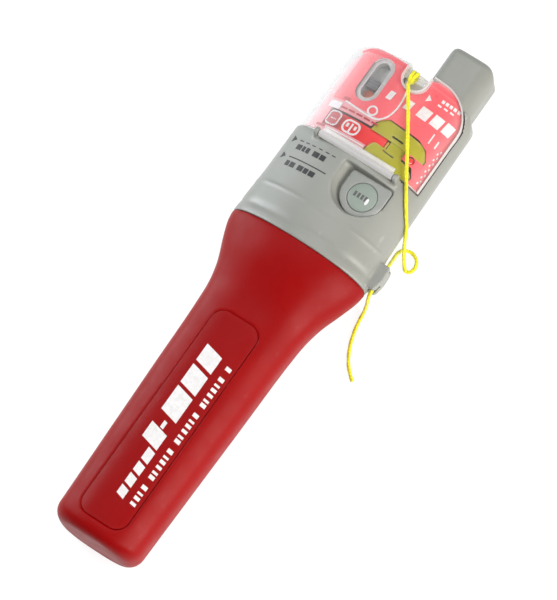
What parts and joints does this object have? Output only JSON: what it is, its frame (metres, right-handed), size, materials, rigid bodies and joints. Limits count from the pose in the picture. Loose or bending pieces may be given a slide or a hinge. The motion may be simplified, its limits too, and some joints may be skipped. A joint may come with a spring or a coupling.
{
  "type": "emergency position beacon",
  "caption": "Hand-held emergency position beacon: red battery grip, grey head with antenna column, hinged clear cap over a slide switch and spring-tape antenna, test button and trip cord.",
  "frame": {"origin": "on the flat back at the middle of the length, on the grip's centre line", "axes": "+X to the right across the face, +Y along the length from the grip's end to the antenna column, +Z out of the face; the beacon lies on its back"},
  "size_m": [0.0586, 0.1886, 0.0275],
  "materials": {
    "grip_red": "moulded red plastic, fine satin texture",
    "label_red": "printed red film",
    "head_grey": "moulded warm grey plastic, satin",
    "neck_grey": "moulded grey plastic",
    "seal_black": "black sealing rubber",
    "steel": "stainless steel",
    "cell_blue": "shrink sleeve on a lithium cell",
    "carrier_dark": "dark moulded plastic",
    "board_green": "coated circuit board",
    "antenna_ceramic": "bare ceramic patch",
    "chip_black": "moulded black epoxy",
    "reed_glass": "glass tube",
    "led_white": "clear to milky lens",
    "button_grey": "soft grey membrane",
    "plate_grey": "satin grey plastic",
    "track_grey": "satin grey plastic",
    "slider_dark": "dark grey plastic",
    "disc_orange": "orange marker",
    "tape_red": "red coated spring tape",
    "rivet_red": "red plastic rivet",
    "tip_yellow": "yellow end cap",
    "clip_olive": "olive yellow plastic",
    "clear_plastic": "clear polycarbonate",
    "film_pink": "translucent printed film",
    "cord_yellow": "braided yellow cord"
  },
  "bodies": {
    "root": {"handle_grip": "grip_red", "grip_label": "label_red", "head_front_shell": "head_grey", "rear_cover": "head_grey", "neck_bulkhead": "neck_grey", "seal_ring": "seal_black", "grip_screw": "steel", "battery_spring": "steel", "battery_contact": "steel", "rear_screw_1": "steel", "rear_screw_2": "steel", "rear_screw_3": "steel", "rear_screw_4": "steel", "radio_shield": "steel", "hinge_pin": "steel", "battery_cell_1": "cell_blue", "battery_cell_2": "cell_blue", "battery_carrier": "carrier_dark", "main_board": "board_green", "gps_antenna": "antenna_ceramic", "processor_chip": "chip_black", "test_switch": "chip_black", "reed_switch": "reed_glass", "led_locked": "led_white", "led_searching": "led_white", "led_active": "led_white", "button_plate": "plate_grey", "switch_track": "track_grey", "indicator_disc": "disc_orange", "antenna_tape": "tape_red", "clip_rivet": "rivet_red", "tape_tip": "tip_yellow", "tape_clip": "clip_olive", "trip_cord": "cord_yellow"},
    "button": {"test_button": "button_grey"},
    "slider": {"switch_slider": "slider_dark", "slider_magnet": "steel"},
    "cap": {"clear_cap": "clear_plastic", "cap_label": "film_pink", "cord_knot": "cord_yellow"}
  },
  "joints": [
    {"name": "cap_hinge", "type": "hinge", "parent": "root", "child": "cap", "pos_m": [0, 0.04655, 0.0255], "axis": [1, 0, 0], "range_deg": [0, 110], "deforming": ["trip_cord"]},
    {"name": "slider_travel", "type": "slide", "parent": "root", "child": "slider", "axis": [0, 1, 0], "range_m": [0, 0.005]},
    {"name": "button_press", "type": "slide", "parent": "root", "child": "button", "axis": [0, 0, -1], "range_m": [0, 0.0007], "stiffness_N_per_m": 1200}
  ]
}
